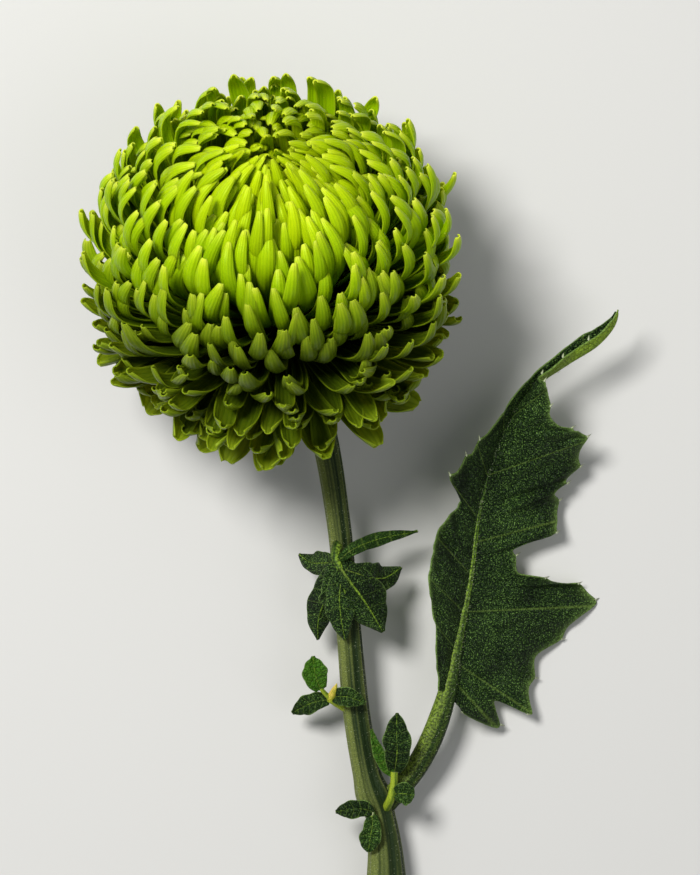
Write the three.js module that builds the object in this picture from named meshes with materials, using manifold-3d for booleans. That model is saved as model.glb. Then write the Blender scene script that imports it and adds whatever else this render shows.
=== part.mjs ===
// A cut chrysanthemum with one large incurved bloom, a ribbed stem, a lobed leaf and small side
// shoots, lying on a table. Lengths are millimetres, angles are degrees and +Z points up.
// Places are measured from the point of the table under the centre of the bloom: +X to the
// right of the flower, +Y towards its crown. The whole flower is then moved to its own origin.
import * as THREE from "three";
import { mergeVertices } from "three/addons/utils/BufferGeometryUtils.js";
import Module from "manifold-3d";

const wasm = await Module();
wasm.setup();

// The flower's origin is the middle of its footprint on the table.
const ORIGIN_X = 24;
const ORIGIN_Y = -89.5;

// The bloom is a globe with a dimpled crown. Its axis rises from the table and leans to the left.
const BLOOM_CENTRE_HEIGHT = 50.5;
const BLOOM_SETBACK = 4;
const BLOOM_RISE = 51;
const BLOOM_LEAN = 2;
const RECEPTACLE_DROP = 26;
const RECEPTACLE_RADIUS = 14;
const RECEPTACLE_EDGE = 3;
const RECEPTACLE_DOME = 4;

// Under the florets lies a smaller core, where the real head is packed too tightly to see into.
const CORE_RADIUS = 39;
const CORE_HALF_HEIGHT = 28;
const CORE_LIFT = 27;
const CORE_RINGS = 8;
const CORE_SIDES = 18;

// Florets stand in layers from the crown to the skirt, a golden angle apart.
const FLORET_COUNT = 212;
const GOLDEN_ANGLE = 137.508;
const SKIRT_ANGLE = 130;
const FLORET_THICKNESS = 1.3;
const FLORET_CUP = 0.42;
const FLORET_SIDES = 3;
const FLORET_STATIONS = [0, 0.66, 0.9, 1];
const FLORET_SEED = 7;
const PATH_STEPS = 24;
const CROWDING = 1.4;
const HOOK_START = 0.66;
const BEAK_START = 0.86;
const BEAK = 28;
const ROOT_SUNK = 0.88;
const LATEST_START = 0.62;

// A floret is half as wide at its root as at its widest, and narrows again into its tip.
const ROOT_WIDTH = 0.5;
const WIDEST_AT = 0.8;
const TIP_FROM = 0.85;
const TIP_TO = 0.97;
const TIP_NARROWING = 0.28;

// How far one floret differs from its neighbours, from one end of the range to the other.
const LAUNCH_RANGE = 7;
const LENGTH_RANGE = 0.09;
const HOOK_RANGE = 0.5;
const WIDTH_RANGE = 0.2;
const TURN_RANGE = 5;
const TWIST_RANGE = 40;

// How a floret grows, by its angle from the crown: its launch above the level of the receptacle,
// the bend on its way, the hook of its tip, its length and its width.
const FLORET_KEYS = [
  { angle: 0, launch: 83.5, bend: 3, hook: 18, length: 63, width: 5 },
  { angle: 12, launch: 74, bend: 8, hook: 42, length: 67, width: 6.4 },
  { angle: 25, launch: 66, bend: 12, hook: 58, length: 71.3, width: 8 },
  { angle: 42, launch: 54, bend: 12, hook: 46, length: 69.3, width: 9.6 },
  { angle: 60, launch: 42, bend: 8, hook: 32, length: 63.7, width: 10.2 },
  { angle: 80, launch: 28, bend: 4, hook: 24, length: 54.9, width: 10.8 },
  { angle: 100, launch: 11.5, bend: -2, hook: 18, length: 45.5, width: 12 },
  { angle: 115, launch: -3.5, bend: -10, hook: 14, length: 39, width: 13.5 },
  { angle: 130, launch: -20, bend: -24, hook: 4, length: 33.8, width: 14 },
];
// On the lower side of the head the outer florets have opened and hang, the more the further out.
const DROOP_BEND = 30;
const DROOP_BEND_FROM = 55;
const DROOP_BEND_FULL = 95;
const DROOP_HOOK = 0.75;
const DROOP_HOOK_FROM = 40;
const DROOP_HOOK_FULL = 65;

// The bloom's weight presses its lowest florets flat on the table.
const PRESS_HEIGHT = 16;
const PRESS_STRENGTH = 0.007;
const TABLE_SIZE = 600;

// Blades and touching pieces.
const BLADE_THICKNESS = 0.8;
const CLEARANCE = 0.3;

// The involucre is a cup of two rows of bracts under the receptacle.
const CUP_RADIUS = 11.5;
const CUP_DEPTH = 8;
const CUP_FOOT_RADIUS = 5.5;
const CUP_SIDES = 20;
// Two turns of the cup's outline between foot and rim, as shares of its radius and of its depth.
const CUP_TURNS = [
  { across: 0.84, down: 0.66 },
  { across: 1, down: 0.3 },
];
const BRACT_PROUD = 1.4;
const BRACT_THICKNESS = 1;
const BRACT_HOLLOW = 0.5;
const BRACT_TIP = 0.02;
const BRACT_ROWS = [
  { count: 8, foot: -7.4, reach: 8, flare: 3, length: 6.6, width: 7 },
  { count: 8, foot: -5.4, reach: 10, flare: 2.4, length: 5, width: 7.4 },
];

// The stem runs from the involucre to its cut end, and lies on the table there.
const STEM_PATH = [
  [0.76, -25.8, 23.6],
  [3, -31.5, 20.4],
  [7.8, -40.5, 19.4],
  [13.6, -51.5, 19.6],
  [19.2, -81, 19.4],
  [22, -110, 15],
  [24.8, -140, 11.6],
  [28.4, -160, 9.6],
  [31.8, -170, 8.9],
  [33.4, -182, 8.2],
  [33.6, -204, 6.6],
  [33, -228, 5.4],
];
const STEM_RADII = [4.5, 4.1, 3.7, 3.4, 3.3, 3.5, 3.8, 3.9, 4.2, 5.7, 6, 5.9];
const STEM_RIBS = 7;
const STEM_RIB_DEPTH = 0.07;
const STEM_SIDES = 28;
const STEM_SEGMENTS = 21;
const NODE_SHARE = 0.69;
const NODE_SWELL = 0.9;
const NODE_LENGTH_SHARE = 0.02;

// The large leaf: its midrib from the stem to the tip, and the reach of each margin from it.
const LEAF_MIDRIB = [
  [33.5, -166.5, 9.6],
  [38.4, -161, 10],
  [42.6, -155.5, 10.8],
  [46.9, -147.5, 12],
  [51.2, -135.4, 13],
  [54.4, -120.4, 13],
  [58.6, -99.4, 13],
  [61.9, -75.4, 14],
  [67.7, -57.5, 15],
  [76.2, -43, 17.5],
  [86.6, -35.4, 20.5],
  [96.8, -28.8, 22],
  [101.4, -23, 22.6],
  [102.4, -18.7, 23],
];
const LEAF_RIB_RADII = [2.3, 2.4, 2.4, 2.1, 1.7, 1.4, 1.2, 1, 0.9, 0.8, 0.6, 0.5];
const LEAF_RIB_SPREAD = 0.4;
const LEAF_RIB_SINK = 0.4;
// Each row: distance along the midrib, reach and forward sweep of the left vein, then of the right.
const LEAF_ROWS = [
  [39, 4.6, 0, 5, -40],
  [41.5, 5.6, 10, 9.5, -52],
  [43.6, 7.4, 10, 22.5, -35],
  [45.8, 9, 15, 17, -24],
  [48.4, 11, 24, 30.5, -22],
  [52, 14, 28, 26, -13],
  [55.5, 17.5, 26, 26.5, -2],
  [59.5, 19, 25, 33, 7],
  [63.5, 20, 24, 42, 13],
  [67.5, 19.4, 24, 38, 16],
  [70, 19, 25, 33, 13],
  [72.3, 19, 28, 25, 11],
  [74.8, 19, 33, 15.5, 8],
  [78, 17.8, 36, 12.5, 24],
  [81.5, 16, 42, 24.5, 16],
  [84.5, 13.6, 46, 27.7, 19],
  [89, 11.4, 42, 26, 27],
  [92, 18.1, 34, 27.5, 27],
  [95, 17.5, 40, 29.3, 27],
  [99.5, 15, 44, 30.5, 30],
  [105, 13.2, 38, 31.2, 36],
  [110.5, 10.9, 43, 27.6, 38],
  [115.5, 8.9, 47, 20, 36],
  [118.5, 8, 50, 16, 46],
  [124, 6.5, 45, 17.3, 56],
  [129, 5.5, 45, 13.3, 50],
  [134, 5, 40, 8, 45],
  [140, 4.6, 35, 5.5, 35],
  [147, 4.6, 35, 5.6, 32],
  [153, 5.6, 32, 5.4, 30],
  [159, 4.2, 32, 4.6, 30],
  [165, 2.8, 30, 3, 30],
  [170, 0.8, 20, 0.8, 20],
];
const LEAF_COLUMNS = 8;
const LEAF_RIPPLE = 1.3;
const LEAF_RIPPLE_STEP = 1.9;
const LEAF_RIPPLE_FULL_REACH = 20;
const LEAF_RIB_SIDES = 6;
const LEAF_RIB_SEGMENTS = 18;
// How far each half of the blade folds up from level, in equal steps from petiole to tip.
const LEAF_LEFT_FOLD = [40, 50, 55, 50, 40, 50, 62, 58, 35, 30];
const LEAF_RIGHT_FOLD = [-8, -17.5, -19.5, -19, -17, -14, 10, 98, 112, 105];

const SMALL_COLUMNS = 4;
const SMALL_ROWS = 6;
const SMALL_OVAL_FROM = 0.12;
const SMALL_OVAL_SPAN = 0.86;
const SMALL_OVAL_POWER = 0.8;
const SMALL_NOTCH = 0.84;
const SMALL_TIP_REACH = 0.3;
const SMALL_VEIN_SWEEP = 22;
const STALK_SIDES = 6;
const STALK_SEGMENTS = 5;

// The small leaves and lobes: half width, fold of the sides, and the middle line.
const UPPER_LEAF_LOBES = [
  lobe(8, -30, [18, -92.5, 24.6], [21.3, -97.5, 27], [27.2, -105.6, 25.5], [32.6, -114.7, 20]),
  lobe(9, -22, [18.4, -91.6, 24], [20.4, -98, 26], [21.4, -104, 24.6], [22.2, -112, 21]),
  lobe(5, -25, [19, -94, 25], [15.6, -104, 21], [13.3, -111, 17], [13.1, -117.4, 12.5]),
  lobe(5, -15, [20.4, -96, 26], [19.6, -104, 25.4], [20, -110, 24], [21.3, -117.1, 21]),
  lobe(4.2, -20, [19, -93.6, 25], [15, -94, 21.5], [11, -94, 17], [7.4, -91.6, 13]),
  lobe(2.6, -25, [19, -93.6, 25.4], [23.4, -90, 26.6], [31, -87, 22.5], [43.1, -84.7, 16.4]),
  lobe(4.8, -20, [21.4, -96, 26.6], [27.6, -98, 24.6], [33, -98.6, 19], [38.3, -95.5, 14]),
];
const UPPER_LEAF_STALKS = [
  {
    radii: [1.7, 1.5, 1.3, 1],
    line: [
      [19.4, -88, 20],
      [18.6, -90.4, 23],
      [18.6, -93, 24.6],
      [20, -96, 25.8],
    ],
  },
];
const LEFT_SHOOT_LEAVES = [
  lobe(4, 14, [17, -134.6, 15.6], [13.6, -131.4, 17.8], [12, -127, 21], [11.7, -121.7, 23]),
  lobe(3.3, 16, [17, -135, 15.4], [13, -135.6, 14], [9.4, -137, 12], [5.3, -139.4, 9.6]),
  lobe(3.1, 12, [17, -134.6, 16], [19.6, -133.9, 18.8], [23, -134.2, 20.4], [27.4, -135.9, 19.4]),
];
const LEFT_SHOOT_STALKS = [
  { radii: [1.4, 1.3, 1.3], line: [[22, -138, 12], [19.4, -136.4, 14], [16.8, -134.6, 15.8]] },
  {
    radii: [1.3, 1.4, 0.4],
    line: [
      [17, -134.8, 15.4],
      [17.9, -132.6, 17.6],
      [18.6, -130.6, 19.6],
    ],
  },
];
const AXIL_SHOOT_LEAVES = [
  lobe(1.9, 25, [36, -158, 15.2], [32.8, -154.4, 15.8], [30.8, -149.4, 16.2], [29, -143.8, 16]),
  lobe(4.2, 16, [36, -157, 15], [36.8, -151, 18], [36.6, -145, 20.4], [36.7, -138.6, 22]),
  lobe(3.8, 14, [35.6, -163.4, 15], [37.4, -163, 17], [39.4, -163, 18], [42, -163.6, 18]),
];
const AXIL_SHOOT_STALKS = [
  {
    radii: [1.4, 1.3, 1.2, 1.1],
    line: [
      [33.4, -168, 11],
      [34.8, -165, 14.6],
      [35.8, -161, 15.4],
      [36, -156.6, 15.8],
    ],
  },
];
const LOWER_SHOOT_LEAVES = [
  lobe(3, 16, [30, -168.8, 15.6], [26.6, -167.6, 16.8], [22.8, -167.8, 16.4], [18.4, -168.6, 14]),
  lobe(3.5, 12, [29.4, -168.8, 15.6], [29.4, -172.6, 16.6], [28.7, -176.4, 16], [28.2, -180.8, 13.8]),
];
const LOWER_SHOOT_STALKS = [
  { radii: [1.5, 1.3, 1.2], line: [[29.4, -171, 11], [29.4, -170, 14], [29, -169, 16]] },
];

function radians(degrees) {
  return THREE.MathUtils.degToRad(degrees);
}

// A number between 0 and 1 that is the same on every run.
function seededRandom(seed) {
  let state = seed;
  return () => {
    state = (state + 0x6d2b79f5) | 0;
    let mixed = Math.imul(state ^ (state >>> 15), 1 | state);
    mixed = (mixed + Math.imul(mixed ^ (mixed >>> 7), 61 | mixed)) ^ mixed;
    return ((mixed ^ (mixed >>> 14)) >>> 0) / 4294967296;
  };
}

// The value of a row of equally spaced numbers at a share of the way along it.
function along(values, share) {
  const place = THREE.MathUtils.clamp(share, 0, 1) * (values.length - 1);
  const before = Math.min(Math.floor(place), values.length - 2);
  return THREE.MathUtils.lerp(values[before], values[before + 1], place - before);
}

// A geometry as a solid that can be joined and cut.
function solidOf(geometry) {
  geometry.deleteAttribute("normal");
  geometry.deleteAttribute("uv");
  const merged = mergeVertices(geometry, 1e-4);
  const mesh = new wasm.Mesh({
    numProp: 3,
    vertProperties: merged.attributes.position.array,
    triVerts: new Uint32Array(merged.index.array),
  });
  return new wasm.Manifold(mesh);
}

// Solids joined two by two, which is quicker than one after the other.
function joined(solids) {
  let layer = solids;
  while (layer.length > 1) {
    const next = [];
    for (let i = 0; i < layer.length; i += 2) {
      next.push(i + 1 < layer.length ? layer[i].add(layer[i + 1]) : layer[i]);
    }
    layer = next;
  }
  return layer[0];
}

// The largest body alone: scraps are dropped, and hollows that the joining sealed are filled.
function largestBody(solid) {
  return solid.decompose().reduce((best, body) => (body.volume() > best.volume() ? body : best));
}

// A named mesh of a solid.
function nodeOf(name, solid, material) {
  const mesh = solid.getMesh();
  const geometry = new THREE.BufferGeometry();
  geometry.setAttribute("position", new THREE.BufferAttribute(mesh.vertProperties, 3));
  geometry.setIndex(new THREE.BufferAttribute(mesh.triVerts, 1));
  geometry.computeVertexNormals();
  const node = new THREE.Mesh(geometry, material);
  node.name = name;
  return node;
}

// Moves every vertex of a geometry to the place that a function gives for it.
function reshape(geometry, placeOf) {
  const position = geometry.attributes.position;
  const point = new THREE.Vector3();
  for (let i = 0; i < position.count; i++) {
    point.fromBufferAttribute(position, i);
    placeOf(point, i);
    position.setXYZ(i, point.x, point.y, point.z);
  }
  return geometry;
}

// The bloom's own frame: its origin on the receptacle, its Z along the axis.
function bloomFrame() {
  const turn = new THREE.Matrix4().makeRotationZ(radians(BLOOM_LEAN));
  const tip = new THREE.Matrix4().makeRotationX(radians(BLOOM_RISE - 90));
  const drop = new THREE.Matrix4().makeTranslation(0, 0, -RECEPTACLE_DROP);
  const lift = new THREE.Matrix4().makeTranslation(0, -BLOOM_SETBACK, BLOOM_CENTRE_HEIGHT);
  return lift.multiply(turn).multiply(tip).multiply(drop);
}

// The growth of a floret between the two listed angles on either side of its own.
function keyAt(angle) {
  const last = FLORET_KEYS.length - 1;
  let i = 0;
  while (i < last - 1 && FLORET_KEYS[i + 1].angle < angle) i++;
  const low = FLORET_KEYS[i];
  const high = FLORET_KEYS[i + 1];
  const share = (angle - low.angle) / (high.angle - low.angle);
  const key = {};
  for (const name of Object.keys(low)) {
    key[name] = THREE.MathUtils.lerp(low[name], high[name], share);
  }
  return key;
}

// Lets a floret on the lower side of the head hang.
function droop(key, turn) {
  const lowSide = Math.max(-Math.sin(radians(turn)), 0);
  const bent = THREE.MathUtils.smoothstep(key.angle, DROOP_BEND_FROM, DROOP_BEND_FULL);
  const opened = THREE.MathUtils.smoothstep(key.angle, DROOP_HOOK_FROM, DROOP_HOOK_FULL);
  key.bend -= DROOP_BEND * lowSide * bent;
  key.hook *= 1 - DROOP_HOOK * lowSide * opened;
}

// A floret's middle line in the plane through the bloom's axis: reach from the axis, height
// above the receptacle and slope at equal steps.
function floretPath(key, rootReach, rootHeight) {
  const path = [{ reach: rootReach, height: rootHeight, slope: radians(key.launch) }];
  const step = key.length / PATH_STEPS;
  for (let i = 1; i <= PATH_STEPS; i++) {
    const share = i / PATH_STEPS;
    const hook = key.hook * THREE.MathUtils.smoothstep(share, HOOK_START, 1);
    const beak = BEAK * THREE.MathUtils.smoothstep(share, BEAK_START, 1);
    const slope = radians(key.launch + key.bend * share * share + hook + beak);
    const last = path[i - 1];
    path.push({
      reach: last.reach + Math.cos(slope) * step,
      height: last.height + Math.sin(slope) * step,
      slope,
    });
  }
  return path;
}

// A place on a floret's middle line, by its share of the length.
function pathAt(path, share) {
  const place = THREE.MathUtils.clamp(share, 0, 1) * PATH_STEPS;
  const i = Math.min(Math.floor(place), PATH_STEPS - 1);
  const part = place - i;
  return {
    reach: THREE.MathUtils.lerp(path[i].reach, path[i + 1].reach, part),
    height: THREE.MathUtils.lerp(path[i].height, path[i + 1].height, part),
    slope: THREE.MathUtils.lerp(path[i].slope, path[i + 1].slope, part),
  };
}

// How far along its path a floret leaves the core, less a root that stays sunk in it.
function leavesCore(path) {
  let share = 0;
  path.forEach((point, i) => {
    const across = point.reach / CORE_RADIUS;
    const upward = (point.height - CORE_LIFT) / CORE_HALF_HEIGHT;
    if (Math.hypot(across, upward) < ROOT_SUNK) share = i / PATH_STEPS;
  });
  return Math.min(share, LATEST_START);
}

// The width along a floret, as a share of its widest.
function widthShare(share) {
  const swell = (1 - ROOT_WIDTH) * THREE.MathUtils.smoothstep(share, 0, WIDEST_AT);
  return ROOT_WIDTH + swell - TIP_NARROWING * THREE.MathUtils.smoothstep(share, TIP_FROM, TIP_TO);
}

// One floret: a blade with a keel on its back, hollow towards the crown, that ends in a point.
function floret(key, turn, twist, frame) {
  const spread = Math.sqrt(key.angle / SKIRT_ANGLE);
  const rootReach = RECEPTACLE_RADIUS * spread;
  const rootHeight = RECEPTACLE_EDGE + RECEPTACLE_DOME * (1 - spread * spread);
  const path = floretPath(key, rootReach, rootHeight);
  const start = leavesCore(path);
  const segments = FLORET_STATIONS.length - 1;
  const blade = new THREE.CylinderGeometry(0, 1, 1, FLORET_SIDES, segments);
  const outward = new THREE.Vector3(Math.cos(turn), Math.sin(turn), 0);
  const sideways = new THREE.Vector3(-Math.sin(turn), Math.cos(turn), 0);
  const upward = new THREE.Vector3(0, 0, 1);
  return reshape(blade, (point) => {
    const station = FLORET_STATIONS[Math.round((point.y + 0.5) * segments)];
    const share = THREE.MathUtils.lerp(start, 1, station);
    const round = Math.hypot(point.x, point.z);
    const across = round > 0 ? Math.round(point.x / round) : 0;
    const isBack = round > 0 && point.z > 0;
    const half = (key.width / 2) * widthShare(share);
    const proud = isBack ? FLORET_THICKNESS / 2 : -Math.abs(across) * half * FLORET_CUP;
    const { reach, height, slope } = pathAt(path, share);
    const ahead = outward.clone().multiplyScalar(Math.cos(slope));
    ahead.addScaledVector(upward, Math.sin(slope));
    const back = outward.clone().multiplyScalar(Math.sin(slope));
    back.addScaledVector(upward, -Math.cos(slope));
    back.applyAxisAngle(ahead, twist * station);
    const side = sideways.clone().applyAxisAngle(ahead, twist * station);
    point.copy(outward).multiplyScalar(reach).addScaledVector(upward, height);
    point.addScaledVector(side, across * half).addScaledVector(back, proud);
    point.applyMatrix4(frame);
    press(point);
  });
}

// Squeezes the lowest stretch of the bloom, the more the lower it hangs.
function press(point) {
  const below = Math.max(PRESS_HEIGHT - point.z, 0);
  point.z += PRESS_STRENGTH * below * below;
}

// The closed middle of the head, from which every floret stands out.
function core(frame) {
  const profile = [];
  for (let i = 0; i <= CORE_RINGS; i++) {
    const angle = Math.PI * (i / CORE_RINGS - 0.5);
    const reach = i === 0 || i === CORE_RINGS ? 0 : CORE_RADIUS * Math.cos(angle);
    profile.push(new THREE.Vector2(reach, CORE_LIFT + CORE_HALF_HEIGHT * Math.sin(angle)));
  }
  const lathe = new THREE.LatheGeometry(profile, CORE_SIDES);
  lathe.rotateX(Math.PI / 2);
  lathe.applyMatrix4(frame);
  return lathe;
}

// The bloom: core and florets in one, seated on the involucre and cut clear of the stem.
function bloomSolid() {
  const frame = bloomFrame();
  const random = seededRandom(FLORET_SEED);
  const pieces = [solidOf(core(frame))];
  const spanOfCosine = 1 - Math.cos(radians(SKIRT_ANGLE));
  for (let i = 0; i < FLORET_COUNT; i++) {
    const share = ((i + 0.5) / FLORET_COUNT) ** CROWDING;
    const angle = THREE.MathUtils.radToDeg(Math.acos(1 - share * spanOfCosine));
    const key = keyAt(angle);
    droop(key, i * GOLDEN_ANGLE);
    key.launch += LAUNCH_RANGE * (random() - 0.5);
    key.length *= 1 + LENGTH_RANGE * (random() - 0.5);
    key.hook *= 1 + HOOK_RANGE * (random() - 0.5);
    key.width *= 1 + WIDTH_RANGE * (random() - 0.5);
    const turn = radians(i * GOLDEN_ANGLE + TURN_RANGE * (random() - 0.5));
    const twist = radians(TWIST_RANGE * (random() - 0.5));
    pieces.push(solidOf(floret(key, turn, twist, frame)));
  }
  const seat = solidOf(cup(BRACT_PROUD + CLEARANCE, CLEARANCE));
  const head = joined(pieces).subtract(belowTable()).subtract(seat);
  return largestBody(head.subtract(solidOf(stemRod(CLEARANCE))));
}

// The space under the table top, which trims the lowest florets to small flat spots.
function belowTable() {
  const block = new THREE.BoxGeometry(TABLE_SIZE, TABLE_SIZE, TABLE_SIZE);
  return solidOf(block.translate(0, 0, -TABLE_SIZE / 2));
}

// The cup of the involucre, grown outwards and upwards where it is used to cut the bloom.
function cup(grown, top) {
  const frame = bloomFrame();
  const radius = CUP_RADIUS + grown;
  const foot = -CUP_DEPTH - grown;
  const turns = CUP_TURNS.map(({ across, down }) => new THREE.Vector2(radius * across, foot * down));
  const profile = [
    new THREE.Vector2(0, foot),
    new THREE.Vector2(CUP_FOOT_RADIUS + grown, foot),
    ...turns,
    new THREE.Vector2(radius, top),
    new THREE.Vector2(0, top),
  ];
  return new THREE.LatheGeometry(profile, CUP_SIDES).rotateX(Math.PI / 2).applyMatrix4(frame);
}

// One bract of the involucre: a small pointed blade that lies on the cup.
function bract(row, turn, frame) {
  const plane = new THREE.PlaneGeometry(1, 1, 2, 2);
  reshape(plane, (point) => {
    const share = point.y + 0.5;
    const side = point.x * 2;
    const half = (row.width / 2) * Math.sqrt(Math.max(1 - share * share, BRACT_TIP));
    const reach = row.reach + row.flare * share - BRACT_HOLLOW * side * side;
    const spin = turn + (side * half) / row.reach;
    point.set(reach * Math.cos(spin), reach * Math.sin(spin), row.foot + row.length * share);
  });
  return thickened(plane, 2, 2, BRACT_THICKNESS).applyMatrix4(frame);
}

// The involucre: the cup with its bracts, bored for the stem.
function involucreSolid() {
  const frame = bloomFrame();
  const pieces = [solidOf(cup(0, 0))];
  BRACT_ROWS.forEach((row, i) => {
    for (let j = 0; j < row.count; j++) {
      const turn = (2 * Math.PI * (j + i / 2)) / row.count;
      pieces.push(solidOf(bract(row, turn, frame)));
    }
  });
  return largestBody(joined(pieces).subtract(solidOf(stemRod(CLEARANCE))));
}

// A smooth open curve through the listed points.
function curveThrough(points) {
  const places = points.map((point) => new THREE.Vector3(...point));
  return new THREE.CatmullRomCurve3(places, false, "centripetal");
}

// A rod bent along a curve, its radius a function of the share of its length and of the turn.
function bentRod(curve, radiusAt, sides, segments) {
  const rod = new THREE.CylinderGeometry(1, 1, 1, sides, segments);
  const up = new THREE.Vector3(0, 0, 1);
  return reshape(rod, (point) => {
    const share = THREE.MathUtils.clamp(point.y + 0.5, 0, 1);
    const turn = Math.atan2(point.x, point.z);
    const radius = Math.hypot(point.x, point.z) * radiusAt(share, turn);
    const ahead = curve.getTangentAt(share);
    const side = new THREE.Vector3().crossVectors(ahead, up).normalize();
    const above = new THREE.Vector3().crossVectors(side, ahead);
    point.copy(curve.getPointAt(share)).addScaledVector(side, radius * Math.sin(turn));
    point.addScaledVector(above, radius * Math.cos(turn));
  });
}

// The stem, ribbed all the way and swollen at its node.
function stemRod(grown) {
  const radiusAt = (share, turn) => {
    const offNode = (share - NODE_SHARE) / NODE_LENGTH_SHARE;
    const plain = along(STEM_RADII, share) + NODE_SWELL * Math.exp(-offNode * offNode);
    return plain * (1 + STEM_RIB_DEPTH * Math.cos(STEM_RIBS * turn)) + grown;
  };
  return bentRod(curveThrough(STEM_PATH), radiusAt, STEM_SIDES, STEM_SEGMENTS);
}

function stemSolid() {
  return solidOf(stemRod(0)).subtract(belowTable());
}

// A sheet with an even wall: the underside repeats the triangles of the upper face.
function thickened(plane, columns, rows, thickness) {
  const sheet = plane.clone();
  sheet.deleteAttribute("uv");
  sheet.computeVertexNormals();
  const { position, normal } = sheet.attributes;
  const count = position.count;
  const places = [...position.array];
  for (let i = 0; i < count; i++) {
    places.push(position.getX(i) - thickness * normal.getX(i));
    places.push(position.getY(i) - thickness * normal.getY(i));
    places.push(position.getZ(i) - thickness * normal.getZ(i));
  }
  const faces = [...sheet.index.array];
  for (let i = 0; i < sheet.index.count; i += 3) {
    const [a, b, c] = sheet.index.array.slice(i, i + 3);
    faces.push(c + count, b + count, a + count);
  }
  const rim = rimOf(columns, rows);
  rim.forEach((a, i) => {
    const b = rim[(i + 1) % rim.length];
    faces.push(a, a + count, b, b, a + count, b + count);
  });
  const solid = new THREE.BufferGeometry();
  solid.setAttribute("position", new THREE.Float32BufferAttribute(places, 3));
  solid.setIndex(faces);
  return solid;
}

// The vertices round the edge of a plane's grid, in the order of its faces.
function rimOf(columns, rows) {
  const stride = columns + 1;
  const rim = [];
  for (let x = 0; x < columns; x++) rim.push(rows * stride + x);
  for (let y = rows; y > 0; y--) rim.push(y * stride + columns);
  for (let x = columns; x > 0; x--) rim.push(x);
  for (let y = 0; y < rows; y++) rim.push(y * stride);
  return rim;
}

// A blade on its midrib. For a place on the grid, shapeOf gives the distance along the midrib, the
// reach and forward sweep of the vein there, and how far that side folds up or hangs down.
function bladeOn(curve, columns, rows, shapeOf) {
  const length = curve.getLength();
  const up = new THREE.Vector3(0, 0, 1);
  const plane = new THREE.PlaneGeometry(2, 1, columns, rows);
  reshape(plane, (point) => {
    const row = Math.round((point.y + 0.5) * rows);
    const side = point.x;
    const { distance, reach, sweep, fold, lift } = shapeOf(row, side);
    const share = THREE.MathUtils.clamp(distance / length, 0, 1);
    const ahead = curve.getTangentAt(share);
    const right = new THREE.Vector3().crossVectors(ahead, up).normalize();
    const above = new THREE.Vector3().crossVectors(right, ahead);
    const out = reach * Math.abs(side);
    const level = out * Math.cos(radians(sweep));
    point.copy(curve.getPointAt(share)).addScaledVector(ahead, out * Math.sin(radians(sweep)));
    point.addScaledVector(right, Math.sign(side) * level * Math.cos(radians(fold)));
    point.addScaledVector(above, level * Math.sin(radians(fold)) + lift);
  });
  return thickened(plane, columns, rows, BLADE_THICKNESS);
}

// The large leaf: the blade with its lobes and teeth on the midrib, cut clear of the stem.
function largeLeafSolid() {
  const curve = curveThrough(LEAF_MIDRIB);
  const rows = LEAF_ROWS.length - 1;
  const length = curve.getLength();
  const blade = bladeOn(curve, LEAF_COLUMNS, rows, (row, side) => {
    const [distance, leftReach, leftSweep, rightReach, rightSweep] = LEAF_ROWS[row];
    const share = distance / length;
    const isLeft = side < 0;
    const reach = isLeft ? leftReach : rightReach;
    const breadth = Math.min(reach / LEAF_RIPPLE_FULL_REACH, 1);
    const lift = LEAF_RIPPLE * side * side * breadth * Math.sin(row * LEAF_RIPPLE_STEP);
    const fold = along(isLeft ? LEAF_LEFT_FOLD : LEAF_RIGHT_FOLD, share);
    return { distance, reach, sweep: isLeft ? leftSweep : rightSweep, fold, lift };
  });
  const leaf = joined([solidOf(blade), solidOf(leafRib(curve))]);
  return largestBody(leaf.subtract(solidOf(stemRod(CLEARANCE))).subtract(belowTable()));
}

// The petiole and midrib of the large leaf, a little broader than it is deep.
function leafRib(curve) {
  const radiusAt = (share, turn) => {
    return along(LEAF_RIB_RADII, share) * (1 + LEAF_RIB_SPREAD * Math.sin(turn) ** 2);
  };
  const rib = bentRod(curve, radiusAt, LEAF_RIB_SIDES, LEAF_RIB_SEGMENTS);
  return rib.translate(0, 0, -LEAF_RIB_SINK);
}

// A small leaf or lobe: a pointed oval blade with a few teeth, folded along its middle.
function smallBlade({ line, half, fold }) {
  const curve = curveThrough(line);
  const length = curve.getLength();
  const blade = bladeOn(curve, SMALL_COLUMNS, SMALL_ROWS, (row) => {
    const share = row / SMALL_ROWS;
    const round = Math.sin(Math.PI * (SMALL_OVAL_FROM + SMALL_OVAL_SPAN * share));
    const tooth = row % 2 ? 1 : SMALL_NOTCH;
    const reach = SMALL_TIP_REACH + half * tooth * round ** SMALL_OVAL_POWER;
    return { distance: share * length, reach, sweep: SMALL_VEIN_SWEEP, fold, lift: 0 };
  });
  return solidOf(blade);
}

// A round stalk that thins along its line.
function stalk({ line, radii }) {
  const radiusAt = (share) => along(radii, share);
  return solidOf(bentRod(curveThrough(line), radiusAt, STALK_SIDES, STALK_SEGMENTS));
}

// A shoot or lobed leaf in one piece, cut clear of the stem.
function shootSolid(blades, stalks) {
  const shoot = joined([...blades.map(smallBlade), ...stalks.map(stalk)]);
  return largestBody(shoot.subtract(solidOf(stemRod(CLEARANCE))));
}

function lobe(half, fold, ...line) {
  return { half, fold, line };
}

function green(color, roughness) {
  return new THREE.MeshStandardMaterial({ color, roughness, metalness: 0 });
}

const FLORET_GREEN = green(0x9fc51a, 0.55);
const BRACT_GREEN = green(0x4c6b22, 0.7);
const STEM_GREEN = green(0x5a6b35, 0.6);
const LEAF_GREEN = green(0x1f3a1d, 0.65);

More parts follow.
